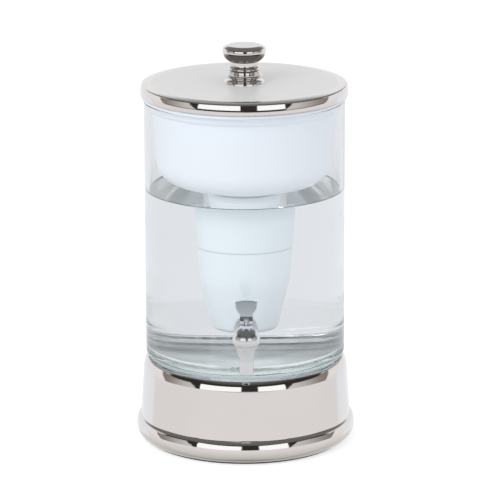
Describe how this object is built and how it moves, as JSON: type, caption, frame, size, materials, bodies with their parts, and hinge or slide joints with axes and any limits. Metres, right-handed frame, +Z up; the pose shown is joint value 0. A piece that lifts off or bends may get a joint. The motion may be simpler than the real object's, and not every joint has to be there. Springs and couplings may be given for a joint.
{
  "type": "water filter dispenser",
  "caption": "Countertop water filter dispenser: glass jar on a polished steel base, hanging white reservoir with a filter cartridge, lift-off steel lid with a knob, and a lever tap.",
  "frame": {"origin": "on the jar's axis, in the plane of the surface that the dispenser stands on", "axes": "+Z up along the jar's axis; the tap faces -Y; +X to the right seen from the front"},
  "size_m": [0.2532, 0.2969, 0.4635],
  "materials": {
    "polished_steel": "mirror-polished spun stainless steel",
    "plain_steel": "plain machined steel",
    "tap_chrome": "bright chrome plate",
    "clear_glass": "clear glass, smooth",
    "white_plastic": "satin white moulding",
    "filter_plastic": "satin, pale blue-white moulding",
    "filter_fleece": "non-woven fleece and open foam",
    "carbon_granules": "packed black granules",
    "resin_beads": "packed amber beads",
    "clear_silicone": "translucent silicone",
    "dark_rubber": "matte non-slip rubber"
  },
  "bodies": {
    "base": {"base_shell": "polished_steel", "base_foot_ring": "dark_rubber", "jar_pad_ring": "clear_silicone"},
    "jar": {"glass_jar": "clear_glass", "spigot_body": "tap_chrome", "spigot_bonnet": "tap_chrome", "spigot_outer_washer": "clear_silicone", "spigot_inner_washer": "clear_silicone", "spigot_nut": "white_plastic"},
    "stem": {"spigot_stem": "tap_chrome", "spigot_seat_cup": "clear_silicone", "spigot_lever_pin": "tap_chrome"},
    "lever": {"spigot_lever": "tap_chrome"},
    "reservoir": {"reservoir": "white_plastic"},
    "filter": {"filter_housing": "filter_plastic", "filter_cap": "filter_plastic", "filter_seal_ring": "clear_silicone", "filter_prefilter_pad": "filter_fleece", "filter_foam_distributor": "filter_fleece", "filter_carbon_bed": "carbon_granules", "filter_resin_bed": "resin_beads", "filter_outlet_membrane": "filter_fleece"},
    "lid": {"lid_shell": "polished_steel", "lid_locating_ring": "polished_steel", "lid_knob": "polished_steel", "lid_knob_washer": "plain_steel", "lid_knob_screw": "plain_steel"}
  },
  "joints": [
    {"name": "jar_lift", "type": "slide", "parent": "base", "child": "jar", "axis": [0, 0, 1], "range_m": [0, 0.06]},
    {"name": "stem_lift", "type": "slide", "parent": "jar", "child": "stem", "axis": [0, 0, 1], "range_m": [0, 0.00393], "stiffness_N_per_m": 1500, "springref_m": -0.001, "deforming": ["spigot_seat_cup"]},
    {"name": "lever_tilt", "type": "hinge", "parent": "stem", "child": "lever", "pos_m": [0, -0.155, 0.18231], "axis": [1, 0, 0], "range_deg": [0, 75]},
    {"name": "reservoir_lift", "type": "slide", "parent": "jar", "child": "reservoir", "axis": [0, 0, 1], "range_m": [0, 0.28]},
    {"name": "filter_lift", "type": "slide", "parent": "reservoir", "child": "filter", "axis": [0, 0, 1], "range_m": [0, 0.28]},
    {"name": "lid_lift", "type": "slide", "parent": "filter", "child": "lid", "axis": [0, 0, 1], "range_m": [0, 0.12]}
  ],
  "couplings": [
    {"joint": "lever_tilt", "follows": "stem_lift", "rad_per_m": 333.33}
  ]
}
